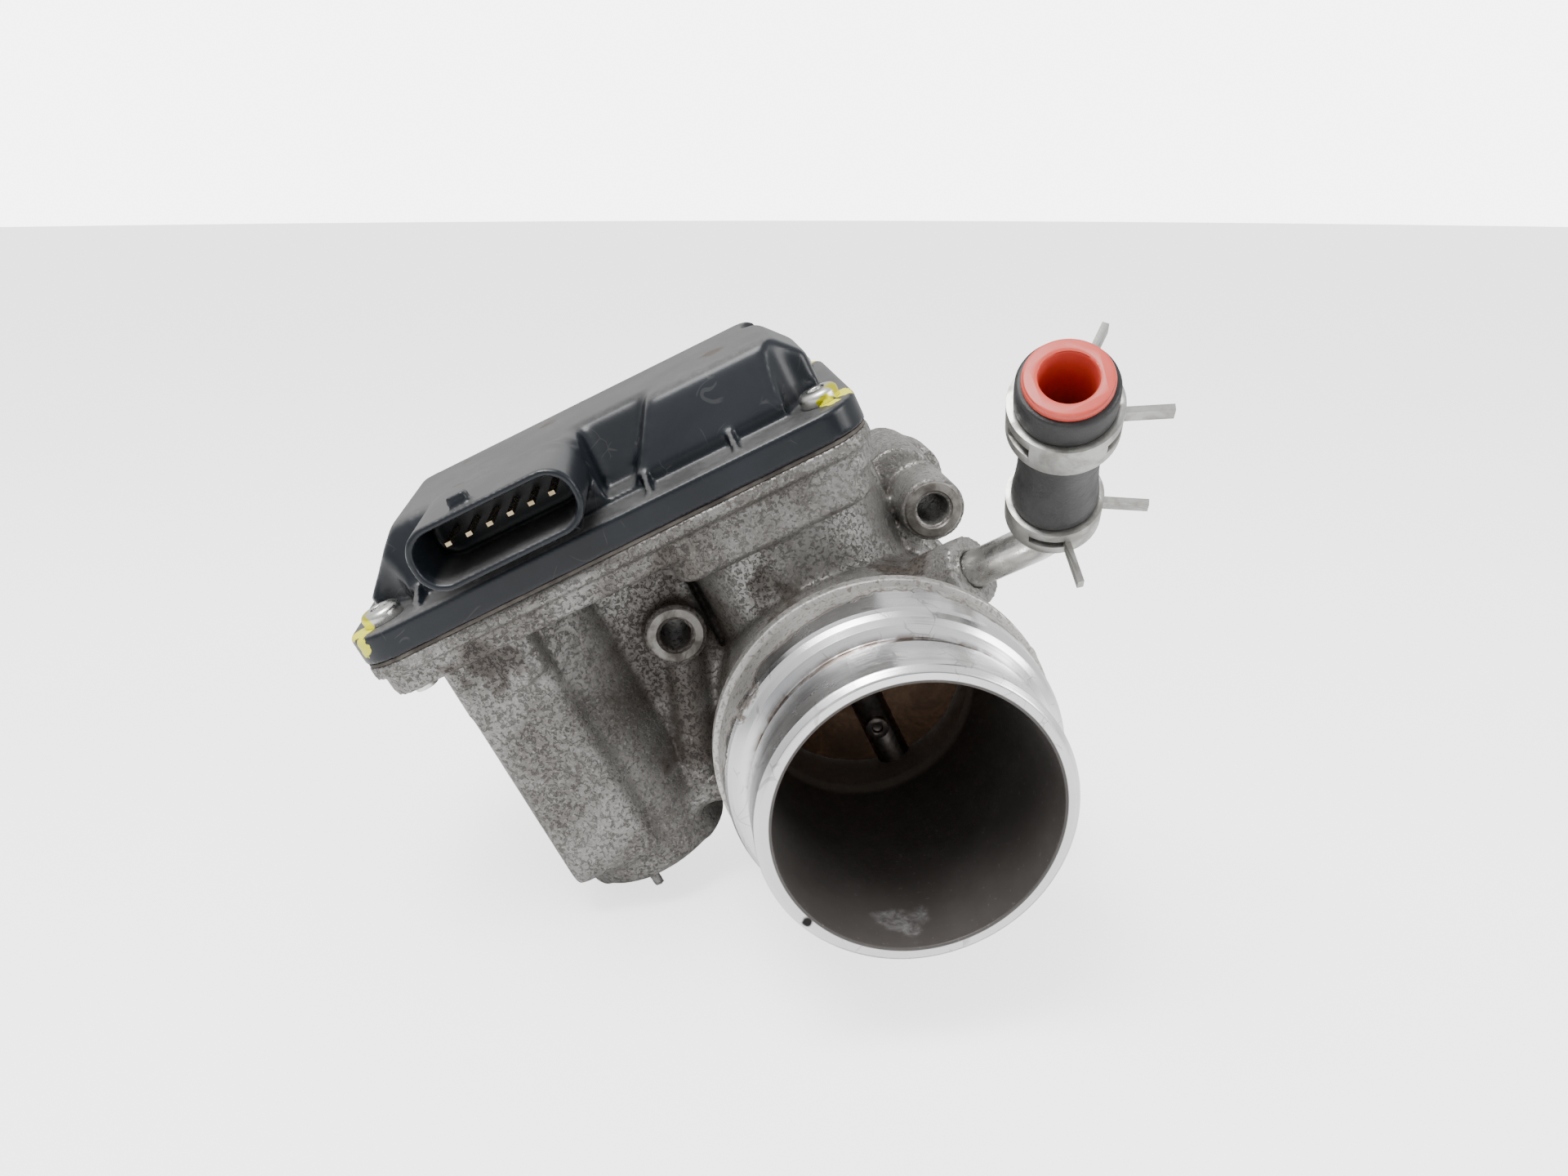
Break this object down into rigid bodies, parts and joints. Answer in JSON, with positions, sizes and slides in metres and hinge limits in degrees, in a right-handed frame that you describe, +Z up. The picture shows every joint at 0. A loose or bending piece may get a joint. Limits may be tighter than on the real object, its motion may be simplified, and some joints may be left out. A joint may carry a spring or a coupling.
{
  "type": "throttle body",
  "caption": "Electronic throttle body: cast inlet tube with butterfly plate, motor housing, geared actuator under a moulded cover, coolant pipe and hose stub",
  "frame": {"origin": "where the bore axis meets the manifold face of the flange, the centre of the bolt circle", "axes": "+Y along the bore towards the engine, out of the manifold face; +Z up as the part lies, the throttle shaft leaning 25.2 degrees towards -X; inlet towards -Y"},
  "size_m": [0.1574, 0.1132, 0.1377],
  "materials": {
    "cast_aluminium": "as-cast, turned at the inlet",
    "black_cover": "satin moulded",
    "gasket_rubber": "matte",
    "seal_rubber": "matte",
    "hose_rubber": "satin",
    "plated_steel": "zinc plated",
    "shaft_steel": "ground, stained",
    "spring_steel": "drawn wire",
    "clamp_steel": "dull zinc",
    "terminal_tin": "tinned",
    "sensor_board": "satin",
    "plate_brass": "stained",
    "bush_bronze": "sintered",
    "winding_copper": "enamelled",
    "magnet_ferrite": "sintered",
    "brush_carbon": "sooty",
    "gear_plastic": "moulded",
    "plug_plastic": "moulded"
  },
  "bodies": {
    "housing": {"throttle_body": "cast_aluminium", "gear_cover": "black_cover", "cover_gasket": "gasket_rubber", "cover_screws": "plated_steel", "connector_terminals": "terminal_tin", "hall_sensor": "sensor_board", "lower_bush": "bush_bronze", "upper_bush": "bush_bronze", "lower_seal": "seal_rubber", "upper_seal": "seal_rubber", "core_plug": "plated_steel", "return_spring": "spring_steel", "stop_screw": "shaft_steel", "idler_pin": "shaft_steel", "motor_can": "plated_steel", "motor_magnets": "magnet_ferrite", "motor_brushes": "brush_carbon", "motor_end_cap": "black_cover", "motor_screws": "plated_steel", "wave_spring": "spring_steel", "coolant_pipe": "plated_steel", "return_nipple": "plated_steel", "coolant_hose": "hose_rubber", "hose_plug": "plug_plastic", "upper_clamp": "clamp_steel", "lower_clamp": "clamp_steel"},
    "throttle": {"throttle_shaft": "shaft_steel", "throttle_plate": "plate_brass", "plate_screws": "shaft_steel", "sector_gear": "gear_plastic", "sensor_magnet": "magnet_ferrite"},
    "intermediate": {"intermediate_gear": "gear_plastic"},
    "motor_rotor": {"motor_shaft": "shaft_steel", "motor_armature": "shaft_steel", "motor_windings": "winding_copper", "motor_commutator": "winding_copper", "motor_pinion": "bush_bronze"}
  },
  "joints": [
    {"name": "motor_turn", "type": "hinge", "parent": "housing", "child": "motor_rotor", "pos_m": [-0.05429, -0.0263, -0.02555], "axis": [0.4258, 0, -0.9048], "range_deg": [0, 794.44]},
    {"name": "throttle_turn", "type": "hinge", "parent": "housing", "child": "throttle", "pos_m": [0, -0.0263, 0], "axis": [0.4258, 0, -0.9048], "range_deg": [0, 78], "stiffness_Nm_per_rad": 0.012, "springref_deg": -11.46},
    {"name": "intermediate_turn", "type": "hinge", "parent": "housing", "child": "intermediate", "pos_m": [-0.02769, -0.0263, -0.01303], "axis": [0.4258, 0, -0.9048], "range_deg": [-216.67, 0]}
  ],
  "couplings": [
    {"joint": "intermediate_turn", "follows": "motor_turn", "ratio": -0.27273},
    {"joint": "throttle_turn", "follows": "motor_turn", "ratio": 0.098182}
  ]
}
